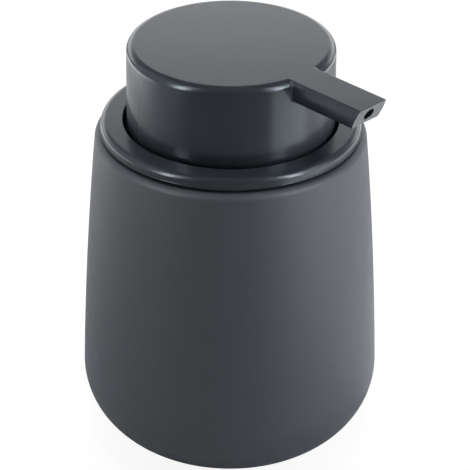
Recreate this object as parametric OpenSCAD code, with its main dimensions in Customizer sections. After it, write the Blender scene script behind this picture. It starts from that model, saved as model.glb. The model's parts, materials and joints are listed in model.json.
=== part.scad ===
// Soap pump dispenser.
// A stoneware jar holds the soap. A lift-out lid closes it: a collar ring with a deep well,
// a silicone seal and a lotion pump that is screwed onto a neck in the well's floor.
// The pump's button is a wide hollow puck with the spout moulded on, and it sinks into the well.
// Millimetres, +Z up. The origin is the middle of the base, and the spout points along +X.

/* [Jar] */
// Widest outside diameter, just above the rounded base
jar_d = 80; // [76:0.5:90]
// Height of the lip above the table
jar_h = 89.6; // [84:0.2:104]
// Radius of the rounded edge between base and side
base_edge_r = 19; // [15:0.5:22]
// How far the side wall bows out from a straight taper
wall_bow = 0.5; // [0:0.05:0.6]
// Thickness of the side wall
jar_wall = 4.2; // [3.6:0.1:4.8]
// Thickness of the floor
jar_floor = 5.5; // [5:0.1:7]
// Thickness of the wall round the mouth
mouth_wall = 4.2; // [3.6:0.1:4.6]
// Radius of the lip's outer edge
lip_r = 1.8; // [1:0.1:2.2]
// Radius of the lip's inner edge
lip_inner_r = 0.8; // [0.5:0.1:1.2]

/* [Base pad] */
// Diameter of the non-slip pad under the base
pad_d = 33.4; // [28:0.2:36]
// Thickness of the pad
pad_t = 2; // [1.6:0.1:2.6]
// How far the pad stands below the jar's foot
pad_proud = 0.4; // [0.2:0.1:0.8]
// Gap between the pad's edge and its recess
pad_gap = 0.3; // [0.2:0.1:0.5]

/* [Collar] */
// How far the collar ring's edge is set in from the jar's shoulder
collar_setback = 1.65; // [1:0.05:2]
// Thickness of the collar ring
collar_t = 3; // [2.6:0.1:4]
// Diameter of the opening that the button sinks into
opening_d = 55.5; // [55:0.1:56.5]
// Thickness of the well's side wall
well_wall = 1.6; // [1.4:0.1:2]
// Thickness of the well's floor
well_floor = 2; // [1.6:0.1:2.6]
// Radius of the ring's outer top edge
collar_edge_r = 0.7; // [0.5:0.1:1.2]
// Radius of the ring's other edges
collar_trim_r = 0.4; // [0.2:0.1:0.6]
// Fillet at the foot of the well
well_fillet = 1.5; // [1:0.1:2]
// Space left under the button's rim when it is pressed right down
rim_clearance = 2.5; // [1.5:0.1:4]
// Wall of the neck that the pump is screwed to
neck_wall = 3.1; // [2.6:0.1:3.6]
// Height of the neck above the well's floor
neck_h = 10; // [8:0.2:11]

/* [Lid seal] */
// Thickness of the seal's brim between collar and lip
brim_t = 0.6; // [0.5:0.1:1]
// How far the brim's edge is set in from the collar's
brim_setback = 0.9; // [0.5:0.1:1.4]
// Thickness of the seal's sleeve
sleeve_t = 0.8; // [0.6:0.1:1]
// How far the fins stand out of the sleeve
fin_reach = 0.75; // [0.6:0.05:1]
// Number of fins
fin_count = 3; // [2:1:4]
// Thickness of a fin
fin_t = 0.5; // [0.4:0.05:0.7]
// Gap between the fins' edge and the jar's bore
fin_gap = 0.05; // [0.02:0.01:0.1]

/* [Button] */
// Gap between the button's rim and the well
button_gap = 0.95; // [0.8:0.05:1.5]
// Height of the button
button_h = 22.2; // [21:0.1:25]
// How much the button's radius grows from top to rim
button_draft = 0.3; // [0:0.05:0.4]
// Depth that the rim sits below the collar's top face at rest
button_sink = 1.2; // [0.8:0.1:2]
// Travel of the button
stroke = 10; // [8:0.5:10.5]
// Thickness of the button's side wall
button_wall = 1.8; // [1.5:0.1:2.4]
// Thickness of the button's top
button_top_t = 1.6; // [1.4:0.1:2]
// Radius of the edge round the flat top
button_edge_r = 2; // [1.2:0.1:2.4]
// Radius of the rim's edges
rim_r = 0.3; // [0.2:0.05:0.5]
// Number of stiffening ribs under the top
rib_count = 8; // [6:2:12]
// Thickness of a rib
rib_t = 1; // [0.8:0.1:1.4]
// Height of a rib
rib_h = 2.4; // [1.6:0.1:3]

/* [Spout] */
// Distance from the pump's axis to the tip's top edge
spout_reach = 48; // [40:0.2:56]
// Width of the spout at its widest
spout_w = 10.2; // [9.4:0.1:12]
// Height of the spout
spout_h = 5.6; // [5.2:0.1:7]
// How far the spout's sides bow out
spout_bow = 0.45; // [0.2:0.05:0.6]
// Radius of the spout's long edges
spout_edge_r = 0.3; // [0.2:0.05:0.9]
// Radius of the fillet where the spout meets the button's side
root_fillet_r = 0.6; // [0.4:0.1:1.5]
// How far the tip's lower edge is set back
tip_setback = 2.5; // [1:0.1:3.4]
// Diameter of the outlet hole
outlet_d = 3; // [2.4:0.1:3.2]
// Length of the outlet hole in front of the nozzle tube
outlet_land = 1; // [0.6:0.1:1.6]
// Wall of the nozzle tube
nozzle_wall = 0.5; // [0.4:0.05:0.6]

/* [Button core] */
// Diameter of the core's hub
hub_d = 12.4; // [12:0.1:13.4]
// Thickness of the button's top over the hub
hub_cover = 0.85; // [0.7:0.05:1.2]
// Thickness of the hub's flange
hub_flange_t = 1; // [0.8:0.1:1.4]
// How far the flange stands out of the hub
hub_flange_reach = 2.6; // [2:0.1:3.2]
// Thickness of the ring in the button that holds the hub
socket_wall = 1.6; // [1.2:0.1:2]
// Height of that ring
socket_h = 4.2; // [3.4:0.1:4.6]
// Depth that the stem is pushed into the hub
stem_grip = 4; // [3.6:0.1:4.4]
// Length of the hub's arm towards the spout, from the axis
arm_reach = 12; // [10:0.5:15]
// Space over the housing cap when the button is pressed right down
core_clearance = 1; // [0.6:0.1:2]

/* [Pump housing] */
// Bore of the pump's barrel
barrel_d = 14.4; // [14:0.1:14.8]
// Thickness of the barrel's wall
barrel_wall = 1.1; // [0.9:0.05:1.2]
// Gap between the barrel and the neck's bore
neck_gap = 0.3; // [0.2:0.05:0.4]
// Thickness of the housing's flange
flange_t = 1.5; // [1.2:0.1:2]
// Gap between the flange's edge and the nut
flange_gap = 0.55; // [0.4:0.05:0.8]
// Thickness of the gasket under the flange
gasket_t = 0.8; // [0.6:0.1:1.2]
// Length of the cone below the barrel
cone_h = 4.5; // [3.6:0.1:6]
// Length of the socket for the dip tube
tube_socket_h = 11; // [8:0.5:14]
// Wall of that socket
tube_socket_wall = 1.25; // [1:0.05:1.6]
// Diameter of the air hole in the barrel
air_hole_d = 1.2; // [0.8:0.1:1.6]

/* [Nut and housing cap] */
// Thickness of the nut's skirt
nut_wall = 2.1; // [1.8:0.1:2.6]
// Thickness of the nut's top
nut_top_t = 1.5; // [1.2:0.1:2]
// Gap between the nut and the neck, which its thread takes up
thread_gap = 0.35; // [0.3:0.05:0.5]
// Gap between the nut and the well's floor
nut_lift = 0.6; // [0.4:0.1:1]
// Number of grip ribs round the nut
grip_count = 24; // [12:4:36]
// How far a grip rib stands out
grip_reach = 0.5; // [0.3:0.05:0.8]
// How far the housing cap's collar overlaps the barrel's top
housing_cap_overlap = 1.2; // [0.9:0.1:1.6]
// Height of the housing cap's collar
housing_cap_h = 2.8; // [2.4:0.1:3.4]
// Thickness of the housing cap's top
housing_cap_t = 1.5; // [1.2:0.1:1.8]
// Depth of the housing cap's sleeve in the barrel
cap_sleeve_h = 5.6; // [4.6:0.1:6.4]
// Thickness of that sleeve
cap_sleeve_t = 1.5; // [1.2:0.1:1.7]
// Height of the stem's wiper seal
wiper_h = 1.4; // [1:0.1:1.8]

/* [Stem and piston] */
// Outside diameter of the stem
stem_d = 8; // [7.6:0.1:8.4]
// Bore of the stem
stem_bore = 5; // [4.8:0.1:5.2]
// Radial gap of every running fit
run_gap = 0.05; // [0.02:0.01:0.09]
// Radial gap of every pushed-together fit
push_gap = 0.02; // [0.01:0.01:0.05]
// Height of the piston
piston_h = 6.5; // [5.6:0.1:7.4]
// Space above the piston, below the housing cap's sleeve
piston_play = 0.4; // [0.3:0.1:0.8]
// Diameter of the rod inside the piston
rod_d = 6.8; // [6.4:0.1:7.2]
// Bore of the rod, which the outlet ball closes
rod_bore = 2.7; // [2.5:0.05:2.8]
// Diameter of the rod's flange under the piston
rod_flange_d = 11.8; // [11.4:0.1:12.4]
// Thickness of that flange
rod_flange_t = 1.5; // [1.2:0.1:2]
// Space between the rod's tail and the ball cage when the button is pressed right down
tail_clearance = 0.8; // [0.4:0.1:1.6]
// Depth that the rod is pushed into the stem
rod_grip = 9; // [7.5:0.1:10]
// Gap between the stem's foot and the piston
piston_lash = 0.2; // [0.1:0.05:0.4]

/* [Valves, spring and tube] */
// Diameter of the inlet ball
inlet_ball_d = 4.8; // [4.6:0.1:5]
// Diameter of the outlet ball
outlet_ball_d = 3.8; // [3.7:0.1:3.9]
// Height that the inlet ball can rise
inlet_lift = 1.2; // [0.8:0.1:1.6]
// Height that the outlet ball can rise
outlet_lift = 1; // [0.6:0.1:1.4]
// Gap under and over a ball at the ends of its travel
ball_gap = 0.05; // [0.03:0.01:0.1]
// Gap round the inlet ball in its cage
ball_room = 0.5; // [0.3:0.05:0.6]
// Wall of the ball cage
cage_wall = 1.1; // [0.9:0.05:1.2]
// Thickness of the cage's foot ring and of its top
cage_t = 1; // [0.8:0.1:1.4]
// Width of each of the cage's three windows
cage_window_w = 2.6; // [2:0.1:3]
// Wire thickness of the return spring
wire_d = 0.9; // [0.8:0.05:1]
// Diameter of the spring, from the middle of the wire
coil_d = 10.3; // [10.1:0.1:10.5]
// Length left for the spring when the button is pressed right down
spring_left = 8; // [7.5:0.5:12]
// Number of open turns
coil_turns = 5; // [4:1:6]
// Outside diameter of the dip tube
tube_d = 5.5; // [5.2:0.1:5.8]
// Wall of the dip tube
tube_wall = 0.7; // [0.5:0.05:0.9]
// Gap between the dip tube's point and the jar's floor
tube_gap = 2; // [1:0.5:5]

/* [Hidden] */
$fn = 96;
over = 1;      // how far a cutter runs past the face that it cuts
arc_steps = 8; // straight steps in a quarter of an edge radius

// Radii
jar_r = jar_d / 2;
opening_r = opening_d / 2;
skirt_r = opening_r + well_wall;
sleeve_r = skirt_r + sleeve_t;
fin_r = sleeve_r + fin_reach;
mouth_r = fin_r + fin_gap;
mouth_outer_r = mouth_r + mouth_wall;
collar_r = mouth_outer_r - collar_setback;
pad_r = pad_d / 2;
barrel_r = barrel_d / 2;
housing_r = barrel_r + barrel_wall;
neck_bore_r = housing_r + neck_gap;
neck_r = neck_bore_r + neck_wall;
nut_bore_r = neck_r + thread_gap;
flange_r = nut_bore_r - flange_gap;
housing_cap_r = barrel_r + housing_cap_overlap;
nut_r = nut_bore_r + nut_wall;
stem_r = stem_d / 2;
rod_r = rod_d / 2;
tube_r = tube_d / 2;
hub_r = hub_d / 2;
button_r = opening_r - button_gap - button_draft;
outlet_r = outlet_d / 2;
nozzle_r = outlet_r + nozzle_wall;

// Heights of the lid
foot_z = pad_proud;
collar_z = jar_h + brim_t;
collar_top_z = collar_z + collar_t;
rim_z = collar_top_z - button_sink;
button_top_z = rim_z + button_h;
floor_top_z = rim_z - stroke - rim_clearance;
floor_z = floor_top_z - well_floor;

// Heights of the pump, from the neck upwards and from the piston downwards
neck_top_z = floor_top_z + neck_h;
flange_z = neck_top_z + gasket_t;
housing_top_z = flange_z + flange_t;
cap_top_z = housing_top_z + housing_cap_h;
core_z = cap_top_z + stroke + core_clearance;
core_top_z = button_top_z - hub_cover;
stem_top_z = core_z + stem_grip;
nozzle_z = button_top_z - spout_h / 2;
sleeve_foot_z = housing_top_z - cap_sleeve_h;
piston_top_z = sleeve_foot_z - piston_play;
piston_z = piston_top_z - piston_h;
stem_z = piston_top_z + piston_lash;
rod_flange_z = piston_z - rod_flange_t;
rod_top_z = stem_z + rod_grip;
spring_h = stroke + spring_left;
cage_foot_top_z = rod_flange_z - spring_h;
barrel_z = cage_foot_top_z - cage_t;

// Valve seats are 45 degree cones, so a ball touches them at its radius times this
seat_share = sin(45);
seat_land = 0.35; // flat rim of the rod round the outlet seat
inlet_ball_r = inlet_ball_d / 2;
outlet_ball_r = outlet_ball_d / 2;
inlet_hole_r = inlet_ball_r * seat_share;
inlet_mouth_r = inlet_ball_r + ball_room;
inlet_seat_z = barrel_z - (inlet_mouth_r - inlet_hole_r);
inlet_ball_z = inlet_seat_z + inlet_hole_r + ball_gap / seat_share;
cage_top_z = inlet_ball_z + inlet_ball_r + inlet_lift + ball_gap;
rod_tail_z = cage_top_z + cage_t + tail_clearance + stroke;
rod_bore_r = rod_bore / 2;
outlet_mouth_r = stem_bore / 2 - seat_land;
outlet_seat_z = rod_top_z - (outlet_mouth_r - rod_bore_r);
outlet_ball_rise = sqrt(2) * (outlet_ball_r + ball_gap) - rod_bore_r;
outlet_ball_z = outlet_seat_z + outlet_ball_rise;
ball_stop_z = outlet_ball_z + outlet_ball_r + outlet_lift + ball_gap;
cone_z = inlet_seat_z - cone_h;
tube_seat_rise = 0.6;
socket_top_z = cone_z + tube_seat_rise;
socket_z = socket_top_z - tube_socket_h;
tube_z = foot_z + jar_floor + tube_gap;

// Points along an arc, from angle a0 to angle a1
function arc(x, y, r, a0, a1, steps = arc_steps) =
  [for (i = [0 : steps]) let (a = a0 + (a1 - a0) * i / steps) [x + r * cos(a), y + r * sin(a)]];

module turned(points) {
  rotate_extrude($fn = 180) polygon(points);
}

// --- Jar and pad ---------------------------------------------------------------------------

base_arc_z = foot_z + base_edge_r;
base_arc_x = jar_r - base_edge_r;
wall_top_z = jar_h - lip_r;
wall_lean = (jar_r - mouth_outer_r - 4 * wall_bow) / (wall_top_z - base_arc_z);
lean_a = atan(wall_lean);
wall_foot_z = base_arc_z + base_edge_r * sin(lean_a);
wall_foot_r = base_arc_x + base_edge_r * cos(lean_a);
wall_steps = 14;

// Outside radius of the jar's side wall at height z: a taper plus a slight parabolic bow
function side_r(z) =
  let (s = (z - wall_foot_z) / (wall_top_z - wall_foot_z))
  wall_foot_r + (mouth_outer_r - wall_foot_r) * s + 4 * wall_bow * s * (1 - s);

module jar() {
  inner_arc_r = base_edge_r - jar_wall;
  inner_arc_z = foot_z + jar_floor + inner_arc_r;
  inner_foot_z = inner_arc_z + inner_arc_r * sin(lean_a);
  land_run = 0.8;
  land_z = floor_z - land_run;
  land_ease = 1.6;
  outer_wall = [for (i = [1 : wall_steps - 1])
    let (z = wall_foot_z + (wall_top_z - wall_foot_z) * i / wall_steps) [side_r(z), z]];
  inner_wall = [for (i = [wall_steps : -1 : 1])
    let (z = inner_foot_z + (land_z - land_ease - inner_foot_z) * i / wall_steps)
    [side_r(z) - jar_wall, z]];
  color("#54595f")
    difference() {
      turned(concat(
        [[0, foot_z]],
        arc(base_arc_x, base_arc_z, base_edge_r, -90, lean_a, 24),
        outer_wall,
        arc(mouth_outer_r - lip_r, wall_top_z, lip_r, 0, 90),
        arc(mouth_r + lip_inner_r, jar_h - lip_inner_r, lip_inner_r, 90, 180),
        [[mouth_r, land_z]],
        inner_wall,
        arc(base_arc_x, inner_arc_z, inner_arc_r, lean_a, -90, 20),
        [[0, foot_z + jar_floor]]
      ));
      translate([0, 0, foot_z - over])
        cylinder(r = pad_r + pad_gap, h = pad_t - pad_proud + over);
    }
}

module base_pad() {
  pad_edge_r = 0.3;
  color("#2b2d2f")
    turned(concat(
      [[0, 0]],
      arc(pad_r - pad_edge_r, pad_edge_r, pad_edge_r, -90, 0),
      [[pad_r, pad_t], [0, pad_t]]
    ));
}

// --- Lid -----------------------------------------------------------------------------------

bead_h = 1.2;
bead_reach = sleeve_t;

module lid_collar() {
  neck_chamfer = 0.6;
  color("#5b6066")
    turned(concat(
      [[skirt_r, collar_z]],
      arc(collar_r - collar_trim_r, collar_z + collar_trim_r, collar_trim_r, -90, 0),
      arc(collar_r - collar_edge_r, collar_top_z - collar_edge_r, collar_edge_r, 0, 90),
      arc(opening_r + collar_trim_r, collar_top_z - collar_trim_r, collar_trim_r, 90, 180),
      arc(opening_r - well_fillet, floor_top_z + well_fillet, well_fillet, 0, -90),
      [
        [neck_r, floor_top_z],
        [neck_r, neck_top_z - neck_chamfer],
        [neck_r - neck_chamfer, neck_top_z],
        [neck_bore_r, neck_top_z],
        [neck_bore_r, floor_z],
        [skirt_r + bead_reach - collar_trim_r, floor_z],
        [skirt_r + bead_reach, floor_z + collar_trim_r],
        [skirt_r + bead_reach, floor_z + bead_h],
        [skirt_r, floor_z + bead_h]
      ]
    ));
}

module lid_seal() {
  brim_r = collar_r - brim_setback;
  fin_rise = 1.4 * fin_t;
  first_fin_z = jar_h - lip_inner_r - fin_rise - 2 * fin_t;
  fin_pitch = (first_fin_z - floor_z - bead_h) / fin_count;
  fins = [for (i = [0 : fin_count - 1]) let (z = first_fin_z - i * fin_pitch) each [
    [sleeve_r, z],
    [fin_r, z - fin_t + fin_rise],
    [fin_r, z - 2 * fin_t + fin_rise],
    [sleeve_r, z - 3 * fin_t]
  ]];
  color("#3a3d40")
    turned(concat(
      [
        [skirt_r, floor_z + bead_h],
        [skirt_r, collar_z],
        [brim_r, collar_z],
        [brim_r, jar_h],
        [sleeve_r, jar_h]
      ],
      fins,
      [[sleeve_r, floor_z + bead_h]]
    ));
}

// --- Pump, fixed parts ---------------------------------------------------------------------

module neck_gasket() {
  gasket_inset = 0.3;
  color("#e8e6df")
    difference() {
      translate([0, 0, neck_top_z])
        cylinder(r = flange_r - gasket_inset, h = gasket_t);
      translate([0, 0, neck_top_z - over])
        cylinder(r = neck_bore_r, h = gasket_t + 2 * over);
    }
}

module pump_nut() {
  nut_z = floor_top_z + nut_lift;
  nut_top_z = housing_top_z + nut_top_t;
  nut_edge_r = 0.8;
  hole_r = housing_cap_r + neck_gap;
  color("#d9d8d4")
    union() {
      turned(concat(
        [
          [nut_bore_r, nut_z],
          [nut_r, nut_z]
        ],
        arc(nut_r - nut_edge_r, nut_top_z - nut_edge_r, nut_edge_r, 0, 90),
        [
          [hole_r, nut_top_z],
          [hole_r, housing_top_z],
          [nut_bore_r, housing_top_z]
        ]
      ));
      for (i = [0 : grip_count - 1])
        rotate(i * 360 / grip_count)
          translate([nut_r - grip_reach, -grip_reach, nut_z])
            cube([2 * grip_reach, 2 * grip_reach, nut_top_z - nut_edge_r - nut_z]);
    }
}

module pump_housing() {
  socket_r = tube_r + push_gap + tube_socket_wall;
  air_hole_z = (piston_z + piston_top_z) / 2;
  mouth_ease = 0.5;
  color("#eceae4")
    difference() {
      turned([
        [inlet_hole_r, socket_top_z],
        [tube_r + push_gap, socket_top_z],
        [tube_r + push_gap, socket_z],
        [socket_r - mouth_ease, socket_z],
        [socket_r, socket_z + mouth_ease],
        [socket_r, cone_z],
        [housing_r, inlet_seat_z],
        [housing_r, flange_z],
        [flange_r, flange_z],
        [flange_r, housing_top_z],
        [barrel_r, housing_top_z],
        [barrel_r, barrel_z],
        [inlet_mouth_r, barrel_z],
        [inlet_hole_r, inlet_seat_z]
      ]);
      translate([0, 0, air_hole_z])
        rotate([0, 90, 180])
          cylinder(d = air_hole_d, h = housing_r + over, $fn = 32);
    }
}

module housing_cap() {
  guide_r = stem_r + run_gap;
  sleeve_outer_r = barrel_r - push_gap;
  top_z = cap_top_z - housing_cap_t;
  top_edge_r = 0.5;
  color("#dddbd5")
    turned(concat(
      [
        [sleeve_outer_r - cap_sleeve_t, sleeve_foot_z],
        [sleeve_outer_r, sleeve_foot_z],
        [sleeve_outer_r, housing_top_z],
        [housing_cap_r, housing_top_z]
      ],
      arc(housing_cap_r - top_edge_r, cap_top_z - top_edge_r, top_edge_r, 0, 90),
      [
        [guide_r, cap_top_z],
        [guide_r, top_z],
        [sleeve_outer_r - cap_sleeve_t, top_z]
      ]
    ));
}

module stem_wiper() {
  wiper_top_z = cap_top_z - housing_cap_t;
  wiper_outer_r = barrel_r - cap_sleeve_t - 2 * push_gap;
  lip_t = 0.4;
  color("#2f3133")
    turned([
      [stem_r + run_gap, wiper_top_z - lip_t],
      [stem_r + run_gap + lip_t, wiper_top_z - wiper_h],
      [wiper_outer_r, wiper_top_z - wiper_h],
      [wiper_outer_r, wiper_top_z],
      [stem_r + run_gap, wiper_top_z]
    ]);
}

module ball_cage() {
  room_r = inlet_mouth_r;
  cage_r = room_r + cage_wall;
  cap_hole_r = inlet_ball_r / 2;
  window_top_z = cage_top_z - cage_t / 2;
  color("#f1efe9")
    difference() {
      turned([
        [room_r, barrel_z],
        [barrel_r - push_gap, barrel_z],
        [barrel_r - push_gap, cage_foot_top_z],
        [cage_r, cage_foot_top_z],
        [cage_r, cage_top_z],
        [cage_r - cage_wall, cage_top_z + cage_t],
        [cap_hole_r, cage_top_z + cage_t],
        [cap_hole_r, cage_top_z],
        [room_r, cage_top_z]
      ]);
      for (a = [30, 150, 270])
        rotate(a)
          translate([room_r - cage_wall, -cage_window_w / 2, cage_foot_top_z])
            cube([3 * cage_wall, cage_window_w, window_top_z - cage_foot_top_z]);
    }
}

module inlet_ball() {
  color("#c9cccf")
    translate([0, 0, inlet_ball_z])
      sphere(r = inlet_ball_r);
}

module dip_tube() {
  tube_top_z = socket_top_z - push_gap;
  point_a = 35;
  color("#f4f3ef")
    difference() {
      translate([0, 0, tube_z])
        cylinder(r = tube_r, h = tube_top_z - tube_z);
      translate([0, 0, tube_z - over])
        cylinder(r = tube_r - tube_wall, h = tube_top_z - tube_z + 2 * over);
      translate([-tube_r, 0, tube_z])
        rotate([0, -point_a, 0])
          translate([-tube_d, -tube_d, -2 * tube_d])
            cube([4 * tube_d, 2 * tube_d, 2 * tube_d]);
    }
}

// The spring is one swept tube: a closed turn at each end, open turns between
spring_sides = 8;
turn_steps = 20;
spring_turns = coil_turns + 2;
spring_rings = spring_turns * turn_steps;
wire_r = wire_d / 2;
open_h = spring_h - 3 * wire_d;

// Height of the wire's middle above the spring's foot, after t turns
function wire_z(t) =
  t < 1 ? wire_r + t * wire_d
  : t < 1 + coil_turns ? wire_r + wire_d + (t - 1) * open_h / coil_turns
  : wire_r + wire_d + open_h + (t - 1 - coil_turns) * wire_d;

module return_spring() {
  points = [for (i = [0 : spring_rings], j = [0 : spring_sides - 1])
    let (t = i / turn_steps, a = j * 360 / spring_sides, r = coil_d / 2 + wire_r * cos(a))
    [r * cos(360 * t), r * sin(360 * t), wire_z(t) + wire_r * sin(a)]];
  sides = [for (i = [0 : spring_rings - 1], j = [0 : spring_sides - 1])
    let (k = (j + 1) % spring_sides, low = i * spring_sides, high = low + spring_sides)
    [low + j, high + j, high + k, low + k]];
  first_end = [for (j = [0 : spring_sides - 1]) j];
  last_end = [for (j = [spring_sides - 1 : -1 : 0]) spring_rings * spring_sides + j];
  color("#b9bcbf")
    translate([0, 0, cage_foot_top_z])
      polyhedron(points, concat(sides, [first_end, last_end]), convexity = 10);
}

// --- Pump, moving parts --------------------------------------------------------------------

module piston() {
  bore_r = rod_r + run_gap;
  lip_outer_r = barrel_r - run_gap;
  waist_r = barrel_r - 1;
  lip_h = piston_h * 0.3;
  lip_t = 0.7;
  cup_r = waist_r - lip_t - 0.6;
  cup_depth = piston_h * 0.25;
  color("#f6f5f0")
    turned([
      [bore_r, piston_z],
      [cup_r, piston_z],
      [waist_r - lip_t, piston_z + cup_depth],
      [lip_outer_r - lip_t, piston_z],
      [lip_outer_r, piston_z],
      [waist_r, piston_z + lip_h],
      [waist_r, piston_top_z - lip_h],
      [lip_outer_r, piston_top_z],
      [lip_outer_r - lip_t, piston_top_z],
      [waist_r - lip_t, piston_top_z - cup_depth],
      [cup_r, piston_top_z],
      [bore_r, piston_top_z]
    ]);
}

module piston_rod() {
  plug_r = stem_bore / 2 - push_gap;
  ease = 0.3;
  color("#e3e1db")
    turned([
      [rod_bore_r, rod_tail_z],
      [rod_r - ease, rod_tail_z],
      [rod_r, rod_tail_z + ease],
      [rod_r, rod_flange_z],
      [rod_flange_d / 2, rod_flange_z],
      [rod_flange_d / 2, piston_z],
      [rod_r, piston_z],
      [rod_r, stem_z],
      [plug_r, stem_z],
      [plug_r, rod_top_z],
      [outlet_mouth_r, rod_top_z],
      [rod_bore_r, outlet_seat_z]
    ]);
}

module outlet_ball() {
  color("#c9cccf")
    translate([0, 0, outlet_ball_z])
      sphere(r = outlet_ball_r);
}

module stem() {
  bore_r = stem_bore / 2;
  stop_t = 0.8;
  stop_h = 2;
  stop_r = outlet_ball_r / 2;
  color("#dcdad4")
    union() {
      difference() {
        translate([0, 0, stem_z])
          cylinder(r = stem_r, h = stem_top_z - stem_z);
        translate([0, 0, stem_z - over])
          cylinder(r = bore_r, h = stem_top_z - stem_z + 2 * over);
      }
      for (a = [0, 120, 240])
        rotate(a)
          translate([stop_r, -stop_t / 2, ball_stop_z])
            cube([(stem_r + bore_r) / 2 - stop_r, stop_t, stop_h]);
    }
}

// --- Button --------------------------------------------------------------------------------

arm_wall = 1;
arm_w = 2 * (nozzle_r + arm_wall);
hub_flange_z = button_top_z - button_top_t - socket_h - hub_flange_t;
nozzle_grip = 1.2; // how far the nozzle tube reaches into the hub
nozzle_start_x = hub_r - nozzle_grip;

module button_core() {
  channel_step = 0.6;
  arm_z = nozzle_z - nozzle_r - arm_wall;
  channel_r = stem_bore / 2 - channel_step;
  color("#cfcdc8")
    difference() {
      union() {
        translate([0, 0, core_z])
          cylinder(r = hub_r, h = core_top_z - core_z);
        translate([0, 0, hub_flange_z])
          cylinder(r = hub_r + hub_flange_reach, h = hub_flange_t);
        translate([0, -arm_w / 2, arm_z])
          cube([arm_reach, arm_w, core_top_z - arm_z]);
      }
      translate([0, 0, core_z - over])
        cylinder(r = stem_r + push_gap, h = stem_grip + over);
      translate([0, 0, core_z])
        cylinder(r = channel_r, h = nozzle_z - core_z);
      translate([0, 0, nozzle_z])
        rotate([0, 90, 0])
          cylinder(r = outlet_r, h = arm_reach + over);
      translate([nozzle_start_x, 0, nozzle_z])
        rotate([0, 90, 0])
          cylinder(r = nozzle_r + push_gap, h = arm_reach + over);
    }
}

// Where the tip's sloping face is at height z
function tip_x(z) = spout_reach - tip_setback * (button_top_z - z) / spout_h;

module nozzle_tube() {
  end_x = tip_x(nozzle_z - nozzle_r) - outlet_land;
  color("#e9e7e1")
    translate([nozzle_start_x, 0, nozzle_z])
      rotate([0, 90, 0])
        difference() {
          cylinder(r = nozzle_r, h = end_x - nozzle_start_x);
          translate([0, 0, -over])
            cylinder(r = outlet_r, h = end_x - nozzle_start_x + 2 * over);
        }
}

// Half of the spout's width at height v above or below its middle
function spout_side(v) = spout_w / 2 - spout_bow * pow(2 * v / spout_h, 2);

// The spout's cross-section: bowed sides and rounded long edges
module spout_section() {
  edge_y = spout_h / 2 - spout_edge_r;
  edge_a = atan(8 * spout_bow * edge_y / pow(spout_h, 2));
  side_top = edge_y + spout_edge_r * sin(edge_a);
  edge_x = spout_side(side_top) - spout_edge_r * cos(edge_a);
  side_steps = 6;
  side = [for (i = [-side_steps + 1 : side_steps - 1])
    let (v = side_top * i / side_steps) [spout_side(v), v]];
  edge = arc(edge_x, edge_y, spout_edge_r, edge_a, 90);
  low_edge = arc(edge_x, -edge_y, spout_edge_r, -90, -edge_a);
  half = concat(low_edge, side, edge);
  polygon(concat(half, [for (i = [len(half) - 1 : -1 : 0]) [-half[i][0], half[i][1]]]));
}

// Fills the corner between the button's side and one side of the spout
module root_fillet() {
  side_y = spout_w / 2;
  centre_y = side_y + root_fillet_r;
  centre_x = sqrt(pow(button_r + root_fillet_r, 2) - pow(centre_y, 2));
  turn_a = atan2(centre_y, centre_x);
  foot = [button_r * cos(turn_a), button_r * sin(turn_a)];
  sunk = button_wall / 2;
  translate([0, 0, button_top_z - spout_h])
    linear_extrude(spout_h - button_edge_r)
      difference() {
        polygon([
          foot,
          [centre_x, centre_y],
          [centre_x, side_y - sunk],
          [foot[0] - sunk, side_y - sunk],
          [foot[0] - sunk, foot[1]]
        ]);
        translate([centre_x, centre_y]) circle(r = root_fillet_r);
      }
}

module button_shell() {
  rim_outer_r = button_r + button_draft;
  inner_top_r = button_r - button_wall;
  inner_z = button_top_z - button_top_t;
  inner_fillet = 1;
  turned(concat(
    arc(rim_outer_r - button_wall + rim_r, rim_z + rim_r, rim_r, 180, 270),
    arc(rim_outer_r - rim_r, rim_z + rim_r, rim_r, -90, 0),
    arc(button_r - button_edge_r, button_top_z - button_edge_r, button_edge_r, 0, 90, 12),
    [[0, button_top_z], [0, inner_z]],
    arc(inner_top_r - inner_fillet, inner_z - inner_fillet, inner_fillet, 90, 0)
  ));
}

module button() {
  inner_z = button_top_z - button_top_t;
  ring_r = hub_r + push_gap + socket_wall;
  spout_root = 3;
  root_x = button_r - button_wall - spout_root;
  rib_end = button_r - button_wall / 2;
  color("#5b6066")
    difference() {
      union() {
        button_shell();
        translate([root_x, 0, nozzle_z])
          rotate([90, 0, 90])
            linear_extrude(spout_reach + over - root_x) spout_section();
        root_fillet();
        mirror([0, 1, 0]) root_fillet();
        translate([0, 0, inner_z - socket_h])
          cylinder(r = ring_r, h = socket_h + button_top_t / 2);
        for (i = [0 : rib_count - 1])
          rotate((i + 0.5) * 360 / rib_count)
            translate([ring_r - socket_wall / 2, -rib_t / 2, inner_z - rib_h])
              cube([rib_end - ring_r + socket_wall / 2, rib_t, rib_h + button_top_t / 2]);
      }
      translate([0, 0, inner_z - socket_h - over])
        cylinder(r = hub_r + push_gap, h = core_top_z + push_gap - inner_z + socket_h + over);
      translate([0, -arm_w / 2 - push_gap, inner_z - socket_h - over])
        cube([arm_reach + push_gap, arm_w + 2 * push_gap,
              core_top_z + push_gap - inner_z + socket_h + over]);
      translate([0, 0, nozzle_z])
        rotate([0, 90, 0])
          cylinder(r = nozzle_r + push_gap, h = tip_x(nozzle_z - nozzle_r) - outlet_land);
      translate([0, 0, nozzle_z])
        rotate([0, 90, 0])
          cylinder(r = outlet_r, h = spout_reach + 2 * over);
      translate([tip_x(button_top_z + over), -spout_w, button_top_z + over])
        rotate([0, 90 + atan(tip_setback / spout_h), 0])
          cube([3 * spout_h, 2 * spout_w, 3 * spout_h]);
    }
}

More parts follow.
